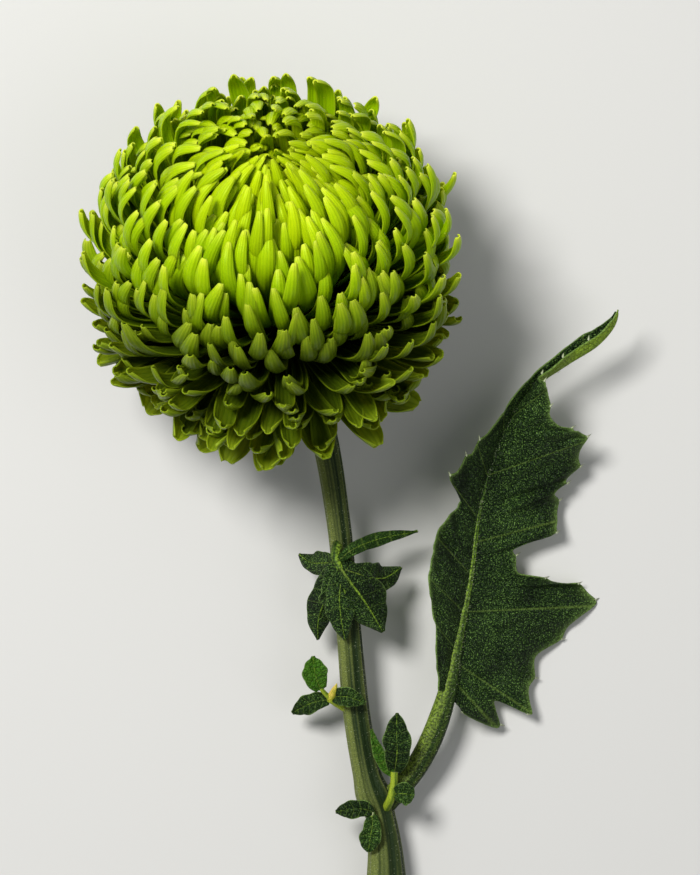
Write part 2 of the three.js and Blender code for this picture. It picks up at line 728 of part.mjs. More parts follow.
const flower = new THREE.Group();
flower.position.set(-ORIGIN_X, -ORIGIN_Y, 0);
flower.add(nodeOf("bloom", bloomSolid(), FLORET_GREEN));
flower.add(nodeOf("involucre", involucreSolid(), BRACT_GREEN));
flower.add(nodeOf("stem", stemSolid(), STEM_GREEN));
flower.add(nodeOf("large_leaf", largeLeafSolid(), LEAF_GREEN));
flower.add(nodeOf("upper_leaf", shootSolid(UPPER_LEAF_LOBES, UPPER_LEAF_STALKS), LEAF_GREEN));
flower.add(nodeOf("left_shoot", shootSolid(LEFT_SHOOT_LEAVES, LEFT_SHOOT_STALKS), LEAF_GREEN));
flower.add(nodeOf("axil_shoot", shootSolid(AXIL_SHOOT_LEAVES, AXIL_SHOOT_STALKS), LEAF_GREEN));
flower.add(nodeOf("lower_shoot", shootSolid(LOWER_SHOOT_LEAVES, LOWER_SHOOT_STALKS), LEAF_GREEN));

export default flower;
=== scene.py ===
# %% [markdown]
# # A cut chrysanthemum, lying on a table
# The flower is one large incurved bloom on a ribbed stem, with a big lobed leaf and four small
# leaves and shoots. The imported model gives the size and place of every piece. This script
# replaces each of them with a finer one that keeps its form, and gives it its living surface.
# Lengths are worked out in millimetres and turned into metres as each piece is finished.

# %% The frame
import bisect
import math
import random

import bmesh
import bpy
from mathutils import Matrix, Vector, geometry, noise


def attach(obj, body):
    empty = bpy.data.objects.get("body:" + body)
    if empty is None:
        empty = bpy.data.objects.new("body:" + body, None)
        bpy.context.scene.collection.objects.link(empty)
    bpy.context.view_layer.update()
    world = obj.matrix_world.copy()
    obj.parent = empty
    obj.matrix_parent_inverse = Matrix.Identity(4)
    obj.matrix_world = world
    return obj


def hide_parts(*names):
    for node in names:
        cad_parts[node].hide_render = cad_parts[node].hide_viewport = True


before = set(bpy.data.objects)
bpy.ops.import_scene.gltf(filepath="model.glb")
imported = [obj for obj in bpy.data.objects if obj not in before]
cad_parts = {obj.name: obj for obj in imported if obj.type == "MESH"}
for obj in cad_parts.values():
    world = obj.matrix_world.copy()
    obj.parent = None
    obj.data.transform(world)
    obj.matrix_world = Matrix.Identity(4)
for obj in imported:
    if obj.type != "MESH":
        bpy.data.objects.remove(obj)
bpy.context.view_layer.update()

MM = 0.001
# Places below are measured from under the middle of the bloom, as in the part's source.
ORIGIN = Vector((24, -89.5, 0))
UP = Vector((0, 0, 1))
print("nodes", sorted(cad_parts))


# %% [markdown]
# ## Helpers
# Most sizes on a flower change gradually: florets get wider from the crown to the skirt, and
# leaves swell and narrow. So sizes stand in short tables, and these helpers read between their
# rows. Every mesh then becomes a piece of the flower in the same way.

# %% Numbers that change gradually
def lerp(a, b, share):
    return a + (b - a) * share


def smooth(value, low, high):
    """0 below low, 1 above high, and a soft step between."""
    share = min(max((value - low) / (high - low), 0), 1)
    return share * share * (3 - 2 * share)


def row_at(table, place):
    """The row of numbers at a place between the rows of a table that is sorted by its first column."""
    for low, high in zip(table, table[1:]):
        if place <= high[0]:
            break
    share = min(max((place - low[0]) / (high[0] - low[0]), 0), 1)
    return [lerp(a, b, share) for a, b in zip(low, high)]


# %% From a mesh to a piece
def begun(*names):
    """An empty mesh, with a layer on its vertices for each number that a material reads."""
    bm = bmesh.new()
    return bm, [bm.verts.layers.float.new(name) for name in names]


def finished(name, bm, material, slot, *nodes):
    """Turns a mesh in millimetres into a piece of the flower that stands for some CAD nodes."""
    bmesh.ops.translate(bm, verts=bm.verts, vec=-ORIGIN)
    bmesh.ops.scale(bm, verts=bm.verts, vec=(MM, MM, MM))
    mesh = bpy.data.meshes.new(name)
    bm.to_mesh(mesh)
    bm.free()
    mesh.shade_smooth()
    piece = bpy.data.objects.new(name, mesh)
    bpy.context.scene.collection.objects.link(piece)
    piece.data.materials.append(material)
    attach(piece, "root")
    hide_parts(*nodes)
    print(name, len(mesh.polygons), "faces before its modifiers")
    return piece


def thicken(piece, thickness, offset=0):
    """Gives a sheet its wall, then rounds it. An offset of -1 keeps the wall under the sheet."""
    wall = piece.modifiers.new("wall", "SOLIDIFY")
    wall.thickness = thickness * MM
    wall.offset = offset
    soft = piece.modifiers.new("soft", "SUBSURF")
    soft.levels = soft.render_levels = 1


# %% [markdown]
# ## Colour
# Every surface of the flower is painted by nodes. They read numbers that the shapes carry, such
# as how far along its floret a point is, so the paint follows each petal however it bends.

# %% Node helpers
NOISE_DETAIL = 2


class Paint:
    """A material whose nodes are added one by one."""

    def __init__(self, name, roughness, **constants):
        self.material = bpy.data.materials.new(name)
        self.material.use_nodes = True
        self.tree = self.material.node_tree
        self.shader = self.tree.nodes["Principled BSDF"]
        self.shader.inputs["Roughness"].default_value = roughness
        for socket, value in constants.items():
            self.shader.inputs[socket.replace("_", " ")].default_value = value

    def node(self, kind, **settings):
        made = self.tree.nodes.new(kind)
        for key, value in settings.items():
            setattr(made, key, value)
        return made

    def link(self, source, target):
        self.tree.links.new(source, target)

    def number(self, name):
        """A number that the shape carries on its vertices."""
        return self.node("ShaderNodeAttribute", attribute_name=name).outputs["Fac"]

    def math(self, operation, a, b=None):
        made = self.node("ShaderNodeMath", operation=operation)
        for socket, value in zip(made.inputs, (a, b)):
            if isinstance(value, (int, float)):
                socket.default_value = value
            elif value is not None:
                self.link(value, socket)
        return made.outputs[0]

    def ramp(self, source, *stops):
        """Colours that follow a number. Each stop is a place and the colour there."""
        made = self.node("ShaderNodeValToRGB")
        ramp = made.color_ramp
        while len(ramp.elements) < len(stops):
            ramp.elements.new(0.5)
        for element, (place, colour) in zip(ramp.elements, stops):
            element.position = place
            element.color = (*colour, 1)
        self.link(source, made.inputs["Fac"])
        return made.outputs["Color"]

    def mix(self, share, a, b, blend="MIX"):
        """Two colours in one. The node has its share at input 0 and its colours at 6 and 7."""
        made = self.node("ShaderNodeMix", data_type="RGBA", blend_type=blend)
        sockets = [made.inputs[0], made.inputs[6], made.inputs[7]]
        for socket, value in zip(sockets, (share, a, b)):
            if isinstance(value, (int, float)):
                socket.default_value = value
            elif isinstance(value, tuple):
                socket.default_value = (*value, 1)
            else:
                self.link(value, socket)
        return made.outputs[2]

    def place(self):
        """Where a point of the flower is, in metres."""
        return self.node("ShaderNodeTexCoord").outputs["Object"]

    def noise(self, scale):
        made = self.node("ShaderNodeTexNoise")
        made.inputs["Scale"].default_value = scale
        made.inputs["Detail"].default_value = NOISE_DETAIL
        self.link(self.place(), made.inputs["Vector"])
        return made.outputs["Fac"]

    def grain(self, scale):
        """The net and the specks of the fine grain that the green skins share."""
        made = self.node("ShaderNodeGroup", node_tree=fine_grain)
        made.inputs["Scale"].default_value = scale
        self.link(self.place(), made.inputs["Place"])
        return made.outputs["Net"], made.outputs["Speck"]

    def is_under(self):
        """1 on the face of a blade that looks away from its marked upper side."""
        upper = self.node("ShaderNodeAttribute", attribute_name="upper").outputs["Vector"]
        facing = self.node("ShaderNodeVectorMath", operation="DOT_PRODUCT")
        self.link(upper, facing.inputs[0])
        self.link(self.node("ShaderNodeNewGeometry").outputs["Normal"], facing.inputs[1])
        return self.math("LESS_THAN", facing.outputs["Value"], 0)

    def bump(self, height, distance, strength):
        """Relief. The distance from its lowest to its highest point is in millimetres."""
        made = self.node("ShaderNodeBump")
        made.inputs["Distance"].default_value = distance * MM
        made.inputs["Strength"].default_value = strength
        self.link(height, made.inputs["Height"])
        self.link(made.outputs[0], self.shader.inputs["Normal"])

    def colour(self, source):
        self.link(source, self.shader.inputs["Base Color"])
        return self.material

    def plain(self, colour):
        """One colour all over, set on the shader's own socket."""
        self.shader.inputs["Base Color"].default_value = (*colour, 1)
        return self.material


# %% [markdown]
# A living floret is lime green. Its root is painted darkest, as shade where no light reaches, and its
# hooked tip palest, partly its own colour and partly a painted highlight. The outermost florets of
# the skirt are the oldest, and they are olive, painted darker as the shade that the skirt lies in.
# Ramps along the floret give those colours, and a second number, its age, raised as painted shade
# on the lower side of the head, chooses between them.

# %% Floret paint
FLORET_VEINS = 6


def floret_paint():
    paint = Paint("floret", 0.4, Specular_IOR_Level=0.3, Subsurface_Weight=0.4, Subsurface_Scale=0.003)
    paint.shader.inputs["Specular Tint"].default_value = (0.75, 1.0, 0.2, 1)
    paint.shader.inputs["Subsurface Radius"].default_value = (1.0, 1.0, 0.15)
    run = paint.number("along")
    age = paint.number("age")
    # In its prime a floret is lime green, from its root, painted dark as shade, to its pale tip, partly
    # its own colour and partly a painted highlight.
    prime_with_painted_light = paint.ramp(run, (0.0, (0.015, 0.04, 0.001)), (0.4, (0.11, 0.23, 0.001)),
                       (0.72, (0.25, 0.43, 0.001)), (0.93, (0.36, 0.55, 0.002)),
                       (0.97, (0.48, 0.65, 0.008)), (1.0, (0.78, 0.87, 0.07)))
    # Near the crown it is young and yellower, partly its own colour and partly painted light, for this
    # colour reaches down to the roots and brightens the shaded crown.
    young_and_lit = paint.ramp(age, (0.08, (0.75, 0.75, 0.75)), (0.4, (0, 0, 0)))
    colour = paint.mix(young_and_lit, prime_with_painted_light, (0.56, 0.72, 0.002))
    # In the skirt it is old and olive, partly its own colour and partly painted shade, for the skirt
    # lies in shade; the root is painted darkest.
    olive_and_shade = paint.ramp(run, (0.0, (0.006, 0.015, 0.001)), (0.5, (0.025, 0.05, 0.002)),
                       (0.9, (0.085, 0.125, 0.004)), (1.0, (0.22, 0.29, 0.012)))
    aged_and_shaded = paint.ramp(age, (0.54, (0, 0, 0)), (0.82, (1, 1, 1)))
    colour = paint.mix(aged_and_shaded, colour, olive_and_shade)
    # Each floret has its own tone.
    shade = paint.ramp(paint.number("tone"), (0.0, (0.78, 0.82, 0.7)), (1.0, (1, 1, 1)))
    colour = paint.mix(1.0, colour, shade, "MULTIPLY")
    # Veins run along it, and the grooves between them are painted darker, as shade, most in old florets.
    across = paint.number("across")
    waves = paint.math("SINE", paint.math("MULTIPLY", across, FLORET_VEINS * math.pi))
    veins = paint.math("ADD", paint.math("MULTIPLY", waves, 0.5), 0.5)
    groove_shade = paint.ramp(veins, (0.0, (0.66, 0.76, 0.6)), (0.55, (1, 1, 1)))
    groove_shade_strength = paint.math("ADD", paint.math("MULTIPLY", aged_and_shaded, 0.45), 0.4)
    colour = paint.mix(groove_shade_strength, colour, groove_shade, "MULTIPLY")
    # Its margins are paler, partly their own colour and partly a painted highlight, less so in old
    # florets.
    edge = paint.math("POWER", paint.math("ABSOLUTE", across), 10)
    paleness_and_highlight = paint.math("SUBTRACT", 0.4, paint.math("MULTIPLY", aged_and_shaded, 0.25))
    colour = paint.mix(paint.math("MULTIPLY", edge, paleness_and_highlight), colour, (0.46, 0.60, 0.02))
    fine = paint.math("MULTIPLY", paint.noise(1600), 0.35)
    paint.bump(paint.math("ADD", veins, fine), 0.18, 0.5)
    return paint.colour(colour)


floret_skin = floret_paint()


# %% [markdown]
# Leaves, stem and bracts share a fine grain, a net of cells with finer specks. Six materials use
# it, so it is a node group, built once, to which each of them gives a scale.

# %% Fine grain, shared by the green skins
SPECKS_PER_CELL = 4


def grain_group():
    group = bpy.data.node_groups.new("fine_grain", "ShaderNodeTree")
    group.interface.new_socket("Place", in_out="INPUT", socket_type="NodeSocketVector")
    group.interface.new_socket("Scale", in_out="INPUT", socket_type="NodeSocketFloat")
    group.interface.new_socket("Net", in_out="OUTPUT", socket_type="NodeSocketFloat")
    group.interface.new_socket("Speck", in_out="OUTPUT", socket_type="NodeSocketFloat")
    source = group.nodes.new("NodeGroupInput")
    result = group.nodes.new("NodeGroupOutput")
    cells = group.nodes.new("ShaderNodeTexVoronoi")
    cells.feature = "DISTANCE_TO_EDGE"
    specks = group.nodes.new("ShaderNodeTexNoise")
    finer = group.nodes.new("ShaderNodeMath")
    finer.operation = "MULTIPLY"
    finer.inputs[1].default_value = SPECKS_PER_CELL
    specks.inputs["Detail"].default_value = NOISE_DETAIL
    group.links.new(source.outputs["Place"], cells.inputs["Vector"])
    group.links.new(source.outputs["Scale"], cells.inputs["Scale"])
    group.links.new(source.outputs["Scale"], finer.inputs[0])
    group.links.new(source.outputs["Place"], specks.inputs["Vector"])
    group.links.new(finer.outputs[0], specks.inputs["Scale"])
    group.links.new(cells.outputs["Distance"], result.inputs["Net"])
    group.links.new(specks.outputs["Fac"], result.inputs["Speck"])
    return group


fine_grain = grain_group()


# %% [markdown]
# The leaf is dark green above, with pale veins and bright specks, partly its pale cells and partly
# painted glints on its hairs, and olive green below. The shape marks which way is up on every blade,
# so one material can paint both faces, even where the tip folds over.

# %% Leaf paint
def leaf_paint():
    paint = Paint("leaf", 0.5, Specular_IOR_Level=0.15)
    net, speck = paint.grain(700)
    # The upper face, in patches of lighter and darker green, with bright specks that are partly pale
    # cells and partly painted glints on its hairs.
    upper = paint.ramp(speck, (0.44, (0.004, 0.012, 0.003)), (0.57, (0.015, 0.038, 0.006)),
                       (0.68, (0.13, 0.23, 0.055)))
    patches = paint.ramp(paint.noise(70), (0.35, (0.4, 0.45, 0.4)), (0.65, (1.5, 1.5, 1.3)))
    upper = paint.mix(1.0, upper, patches, "MULTIPLY")
    # The youngest leaves are a fresher green.
    fresh = paint.ramp(speck, (0.4, (0.03, 0.10, 0.004)), (0.7, (0.08, 0.22, 0.01)))
    upper = paint.mix(paint.number("fresh"), upper, fresh)
    under = paint.ramp(speck, (0.3, (0.12, 0.20, 0.010)), (0.7, (0.27, 0.40, 0.03)))
    colour = paint.mix(paint.is_under(), upper, under)
    # Pale veins, and a pale line along the margin.
    vein = paint.ramp(paint.number("vein"), (0.0, (1, 1, 1)), (0.32, (0, 0, 0)))
    colour = paint.mix(paint.math("MULTIPLY", vein, 0.6), colour, (0.12, 0.19, 0.03))
    edge = paint.math("POWER", paint.math("ABSOLUTE", paint.number("across")), 30)
    colour = paint.mix(paint.math("MULTIPLY", edge, 0.85), colour, (0.17, 0.28, 0.06))
    hollows = paint.ramp(net, (0.0, (0, 0, 0)), (0.15, (1, 1, 1)))
    paint.bump(paint.math("ADD", hollows, speck), 0.35, 1.0)
    return paint.colour(colour)


leaf_skin = leaf_paint()


# %% [markdown]
# The stem is olive on its ribs and dark in the grooves between them, partly its own colour and
# partly painted shade, and it is painted paler on the side towards the light. The stalks of the
# leaves, the bud and the midribs are made like it, in other greens, so one function paints them all.

# %% Stem, bract and hair paint
def stem_paint(name, groove, ridge, width=(0.45, 0.8), speckle=0.6, grain=900, tip=(1, 1, 1)):
    """Groove and ridge are colours, and width says where on a rib one turns into the other.
    Speckle darkens the grain, and tip tints the far end of the rod."""
    paint = Paint(name, 0.55, Specular_IOR_Level=0.15)
    net, speck = paint.grain(grain)
    # Grooves are darker, partly as painted shade, and the lit side of a rod is painted paler, as painted
    # light.
    colour = paint.ramp(paint.number("rib"), (width[0], groove), (width[1], ridge))
    shade = paint.ramp(speck, (0.4, (speckle, speckle * 1.1, speckle)), (0.62, (1.1, 1.1, 1)))
    colour = paint.mix(1.0, colour, shade, "MULTIPLY")
    tint = paint.ramp(paint.number("along"), (0.1, (1, 1, 1)), (0.45, tip))
    colour = paint.mix(1.0, colour, tint, "MULTIPLY")
    cut = paint.ramp(paint.number("cut"), (0.3, (0, 0, 0)), (0.4, (1, 1, 1)))
    colour = paint.mix(cut, colour, (0.30, 0.34, 0.16))
    paint.bump(paint.math("ADD", net, speck), 0.25, 0.8)
    return paint.colour(colour)


def bract_paint():
    paint = Paint("bract", 0.55)
    net, speck = paint.grain(600)
    colour = paint.ramp(speck, (0.3, (0.05, 0.09, 0.01)), (0.7, (0.11, 0.17, 0.03)))
    paint.bump(net, 0.2, 0.8)
    return paint.colour(colour)


stem_skin = stem_paint("stem", (0.016, 0.032, 0.008), (0.17, 0.20, 0.05), (0.2, 1.0), speckle=0.55)
rib_skin = stem_paint("rib", (0.022, 0.045, 0.008), (0.15, 0.21, 0.03), (0.1, 1.0), speckle=0.25,
                      grain=420, tip=(1.7, 1.9, 1.2))
shoot_skin = stem_paint("shoot", (0.12, 0.19, 0.015), (0.36, 0.44, 0.03), (0.1, 0.9))
bud_skin = stem_paint("bud", (0.40, 0.44, 0.02), (0.70, 0.62, 0.06), tip=(1.15, 0.95, 2))
bract_skin = bract_paint()
hair_skin = Paint("hair", 0.6).plain((0.45, 0.5, 0.3))
print("materials", [material.name for material in bpy.data.materials])


# %% [markdown]
# ## The bloom
# A chrysanthemum head carries several hundred ray florets on a small dome, each a golden angle
# on from the last, which packs them evenly. Each floret could be sculpted by hand, but one rule
# for all of them is closer to how they grow: it climbs from the dome at an angle that depends
# on its place, bends, and hooks over at the tip.

# %% The form of the florets
# Angle from the crown, launch, bend, hook of the tip (degrees), length and width (mm).
FLORET_KEYS = [
    (0, 84, 3, 22, 65.5, 5),
    (12, 74, 8, 44, 68.5, 5.4),
    (25, 66, 12, 58, 71.5, 5.9),
    (42, 54, 12, 54, 70.3, 6.4),
    (60, 41, 8, 46, 65.5, 6.9),
    (80, 26.5, 4, 38, 56.8, 7.6),
    (100, 10.5, -2, 26, 46.7, 9.2),
    (115, -3.5, -10, 14, 39, 12.5),
    (130, -20, -24, 4, 32.5, 14.5),
]
FLORETS = 840
FLORET_SEED = 21
GOLDEN_ANGLE = 137.508
# The angle of the last floret, and how much closer they stand near the crown than by equal areas.
SKIRT_ANGLE = 130
CROWDING = 1.55
# The small dome that they stand on: its radius, the height of its edge and its own height (mm).
RECEPTACLE_RADIUS = 14
RECEPTACLE_EDGE = 3
RECEPTACLE_DOME = 4
# The hook and the sharper beak of the tip start at these shares of the length.
PATH_STEPS = 24
HOOK_START = 0.66
BEAK_START = 0.86
BEAK = 28
CURL_GROWTH = 1.4
# Creases are this deep at random (mm) on a floret of this width (mm).
CREASE_DEPTH = 0.1, 0.5
CREASE_WIDTH = 9
# The head nods: on its lower side the florets have opened and hang, and are painted older, as shade.
DROOP_BEND = 30
DROOP_HOOK = 0.75
DROOP_SHADE = 0.3
# How far the florets differ at random: launch, twist, sway and turn (degrees).
LAUNCH_SPREAD = 2.2
TWIST_SPREAD = 16
SWAY_SPREAD = 6
TURN_SPREAD = 4
# Below this height (mm) the head's weight presses the florets up, and none comes nearer the table.
PRESS_BELOW = 16
PRESS_STRENGTH = 0.007
FLORET_FLOOR = 0.35
FLORET_WALL = 0.55
# The middle of the head, how far its axis rises from the table and leans to the left (degrees),
# and how far below its middle the receptacle lies (mm).
BLOOM_CENTRE = (0, -4, 50.5)
BLOOM_RISE = 51
BLOOM_LEAN = 2
RECEPTACLE_DROP = 26
BLOOM = (
    Matrix.Translation(BLOOM_CENTRE)
    @ Matrix.Rotation(math.radians(BLOOM_LEAN), 4, "Z")
    @ Matrix.Rotation(math.radians(BLOOM_RISE - 90), 4, "X")
    @ Matrix.Translation((0, 0, -RECEPTACLE_DROP))
)
# Rows of a floret from root to tip: share of the length, width, and curl of its margins.
FLORET_ROWS = [
    (0, 0.40, 55),
    (0.3, 0.60, 46),
    (0.52, 0.80, 38),
    (0.68, 0.93, 36),
    (0.80, 1.0, 38),
    (0.88, 0.97, 44),
    (0.94, 0.87, 54),
    (0.975, 0.68, 64),
    (0.992, 0.47, 74),
    (1, 0.24, 80),
]
print(FLORETS, "florets on a head whose axis rises", BLOOM_RISE, "degrees")


# %% [markdown]
# Each floret starts as a flat grid. It could be bent by a chain of modifiers, but it is simpler
# to work out its middle line and, for each row of the grid, a cross-section that curls inward,
# and then to move every vertex to its place.

# %% How a floret grows
def floret_path(launch, bend, hook, beak, length, reach, height):
    """The middle line in the plane through the bloom's axis: reach, height and slope."""
    path = [(reach, height, math.radians(launch))]
    step = length / PATH_STEPS
    for i in range(1, PATH_STEPS + 1):
        share = i / PATH_STEPS
        hooked = hook * smooth(share, HOOK_START, 1) + beak * smooth(share, BEAK_START, 1)
        slope = math.radians(launch + bend * share * share + hooked)
        reach += math.cos(slope) * step
        height += math.sin(slope) * step
        path.append((reach, height, slope))
    return path


def section(width, curl, columns):
    """Half of a floret's cross-section: sideways and inward, growing more curled to the margin."""
    step = width / columns
    side = inward = 0
    line = [(0, 0)]
    for i in range(columns // 2):
        middle = (i + 0.5) / (columns / 2)
        angle = math.radians(curl) * 2 * middle ** CURL_GROWTH
        side += math.cos(angle) * step
        inward += math.sin(angle) * step
        line.append((side, inward))
    return line


def draw_floret(angle, low_side, rng):
    """The middle line, width, twist, sway and tone of a floret. Outer ones differ the most."""
    _, launch, bend, hook, length, width = row_at(FLORET_KEYS, angle)
    bend -= DROOP_BEND * low_side * smooth(angle, 60, 105)
    hook *= 1 - DROOP_HOOK * low_side * smooth(angle, 50, 105)
    outermost = smooth(angle, 90, SKIRT_ANGLE)
    launch += rng.gauss(0, LAUNCH_SPREAD)
    length *= rng.uniform(0.90 - 0.12 * outermost, 1.04 + 0.08 * outermost)
    beak = BEAK + smooth(angle, 70, 110) * rng.uniform(-20, 60)
    hook *= rng.uniform(0.7, 1.3 + 1.5 * smooth(angle, 55, 95))
    width *= rng.uniform(0.85, 1.15)
    twist = math.radians(rng.gauss(0, TWIST_SPREAD * (1 + smooth(angle, 80, 120))))
    sway = math.radians(rng.gauss(0, SWAY_SPREAD))
    tone = rng.random()
    spread = math.sqrt(angle / SKIRT_ANGLE)
    foot = RECEPTACLE_RADIUS * spread, RECEPTACLE_EDGE + RECEPTACLE_DOME * (1 - spread ** 2)
    path = floret_path(launch, bend, hook, beak, length, *foot)
    return path, width, twist, sway, tone


def floret_rows(path, width, twist, sway, turn, age, columns):
    """For each row: its middle, the ways sideways, back and ahead, and its cross-section."""
    rows = []
    for share, breadth, curl in FLORET_ROWS:
        place = share * PATH_STEPS
        i = min(int(place), PATH_STEPS - 1)
        reach, height, slope = (lerp(a, b, place - i) for a, b in zip(path[i], path[i + 1]))
        bearing = turn + sway * share * share
        out = Vector((math.cos(bearing), math.sin(bearing), 0))
        side = Vector((-math.sin(bearing), math.cos(bearing), 0))
        ahead = out * math.cos(slope) + UP * math.sin(slope)
        back = out * math.sin(slope) - UP * math.cos(slope)
        turned = Matrix.Rotation(twist * smooth(share, 0.4, 1), 3, ahead)
        # Old florets have blunter tips.
        blunt = lerp(breadth, max(breadth, 0.6), age * smooth(share, 0.9, 1))
        line = section(width * blunt, curl, columns)
        rows.append((out * reach + UP * height, turned @ side, turned @ back, ahead, line))
    return rows


def pressed(place):
    """A place on the bloom, moved up where the table holds it."""
    place.z += PRESS_STRENGTH * max(PRESS_BELOW - place.z, 0) ** 2
    place.z = max(place.z, FLORET_FLOOR)
    return place


def grow_floret(bm, layers, angle, turn, columns, rng):
    low_side = max(-math.sin(turn), 0)
    path, width, twist, sway, tone = draw_floret(angle, low_side, rng)
    age = angle / SKIRT_ANGLE
    creases = [rng.uniform(*CREASE_DEPTH) * (1 if i % 2 else -1) for i in range(columns + 1)]
    ragged = [rng.uniform(-1, 1) * 0.8 * age ** 3 for _ in range(columns + 1)]
    rows = floret_rows(path, width, twist, sway, turn, age, columns)
    last = len(rows) - 1
    half = columns // 2
    made = bmesh.ops.create_grid(bm, x_segments=columns, y_segments=last, size=0.5)["verts"]
    across, run, tone_layer, age_layer = layers
    for vert in made:
        column = round((vert.co.x + 0.5) * columns) - half
        row = round((vert.co.y + 0.5) * last)
        share, breadth, _ = FLORET_ROWS[row]
        middle, side, back, ahead, line = rows[row]
        sideways, inward = line[abs(column)]
        crease = creases[column + half] * breadth * (width / CREASE_WIDTH)
        place = middle + side * math.copysign(sideways, column) - back * (inward + crease)
        place += ahead * ragged[column + half] * smooth(share, 0.85, 1)
        vert.co = pressed(BLOOM @ place)
        vert[across] = column / half
        vert[run] = share
        vert[tone_layer] = tone
        # On the head's lower side the florets are painted older, which darkens them as painted shade.
        vert[age_layer] = age + DROOP_SHADE * low_side * smooth(angle, 25, 65)


# %% [markdown]
# The florets are grown in order from the crown to the skirt. They could be one mesh, but five
# rings keep each piece light, and the broad florets of the skirt can have a finer grid.

# %% Grow the bloom in five rings
# Each ring with the columns of the grid of one floret.
BLOOM_RINGS = [
    ("bloom_crown", 4),
    ("bloom_shoulder", 4),
    ("bloom_middle", 4),
    ("bloom_side", 4),
    ("bloom_skirt", 6),
]


def grow_bloom():
    rng = random.Random(FLORET_SEED)
    span = 1 - math.cos(math.radians(SKIRT_ANGLE))
    per_ring = FLORETS // len(BLOOM_RINGS)
    for ring, (name, columns) in enumerate(BLOOM_RINGS):
        bm, layers = begun("across", "along", "tone", "age")
        for i in range(ring * per_ring, (ring + 1) * per_ring):
            share = ((i + 0.5) / FLORETS) ** CROWDING
            angle = math.degrees(math.acos(1 - share * span))
            turn = math.radians(i * GOLDEN_ANGLE + rng.uniform(-TURN_SPREAD, TURN_SPREAD))
            grow_floret(bm, layers, angle, turn, columns, rng)
        piece = finished(name, bm, floret_skin, "florets", "bloom")
        thicken(piece, FLORET_WALL)


grow_bloom()


# %% [markdown]
# ## The stem
# The stem is a ribbed green rod with a swelling where the large leaf joins it, cut straight across
# at its end. A grid is rolled into a tube round the stem's line, which keeps the ribs running from
# the cup to the cut.

# %% A line through points
LINE_STEPS = 24


def along(values, share):
    """The value at a share of the way through equally spaced numbers."""
    place = min(max(share, 0), 1) * (len(values) - 1)
    i = min(int(place), len(values) - 2)
    return lerp(values[i], values[i + 1], place - i)


class Line:
    """A smooth open curve through listed points, measured along its length."""

    def __init__(self, points):
        points = [Vector(point) for point in points]
        points = [2 * points[0] - points[1], *points, 2 * points[-1] - points[-2]]
        self.places = []
        for before, start, end, after in zip(points, points[1:], points[2:], points[3:]):
            gaps = [math.sqrt((b - a).length) for a, b in ((before, start), (start, end), (end, after))]
            here = (end - start) / gaps[1]
            leave = (start - before) / gaps[0] - (end - before) / (gaps[0] + gaps[1]) + here
            arrive = here - (after - start) / (gaps[1] + gaps[2]) + (after - end) / gaps[2]
            handles = start + leave * gaps[1] / 3, end - arrive * gaps[1] / 3
            self.places += geometry.interpolate_bezier(start, *handles, end, LINE_STEPS)[:-1]
        self.places.append(points[-2])
        self.runs = [0]
        for a, b in zip(self.places, self.places[1:]):
            self.runs.append(self.runs[-1] + (b - a).length)
        self.length = self.runs[-1]
        ends = [self.places[0], *self.places, self.places[-1]]
        self.headings = [(b - a).normalized() for a, b in zip(ends, ends[2:])]

    def at(self, share):
        """The place at a share of the length, and the directions ahead, to the right and above."""
        run = min(max(share, 0), 1) * self.length
        i = min(bisect.bisect_right(self.runs, run), len(self.runs) - 1) - 1
        part = (run - self.runs[i]) / (self.runs[i + 1] - self.runs[i])
        place = self.places[i].lerp(self.places[i + 1], part)
        ahead = self.headings[i].lerp(self.headings[i + 1], part).normalized()
        right = ahead.cross(UP).normalized()
        return place, ahead, right, right.cross(ahead)


# %% A rod round a line
STEM_RIBS = 7
# The end of a rod is closed by rings of these shares of its radius.
CAP_RINGS = [0, 0.45, 0.85]
ROD_FLOOR = 0.05


def rib_height(share, turn, lit_side):
    """High on the ribs and on the side towards the light, as painted light, low in the grooves,
    and uneven along the rod.
    """
    uneven = noise.noise((3 * math.cos(turn), 3 * math.sin(turn), 6 * share))
    fine = 0.18 * math.cos(3 * STEM_RIBS * turn + 1)
    # The side towards the light is painted paler, as painted light.
    painted_light = 0.75 * smooth(lit_side * math.sin(turn), 0.1, 0.5) - 0.25
    return 0.5 + 0.3 * math.cos(STEM_RIBS * turn) + 0.4 * uneven + fine + painted_light


def grow_rod(bm, layers, line, radius_at, sides, segments, sink=0, lit_side=-1):
    """A closed rod. radius_at gives its radius at a share of its length and a turn round it.
    Sink lowers it, and its lit side, painted paler as painted light, is 1 for its right and -1 for its
    left."""
    rows = [(0, wide) for wide in CAP_RINGS]
    rows += [(i / segments, 1) for i in range(segments + 1)]
    rows += [(1, wide) for wide in reversed(CAP_RINGS)]
    made = bmesh.ops.create_grid(bm, x_segments=sides, y_segments=len(rows) - 1, size=0.5)["verts"]
    run, rib, cut = layers
    for vert in made:
        turn = -2 * math.pi * (vert.co.x + 0.5)
        share, wide = rows[round((vert.co.y + 0.5) * (len(rows) - 1))]
        place, ahead, right, above = line.at(share)
        radius = wide * radius_at(share, turn)
        vert.co = place + radius * (right * math.sin(turn) + above * math.cos(turn))
        vert.co.z = max(vert.co.z - sink, ROD_FLOOR)
        vert[run] = share
        vert[rib] = rib_height(share, turn, lit_side)
        vert[cut] = 1 - wide
    bmesh.ops.remove_doubles(bm, verts=made, dist=0.001)


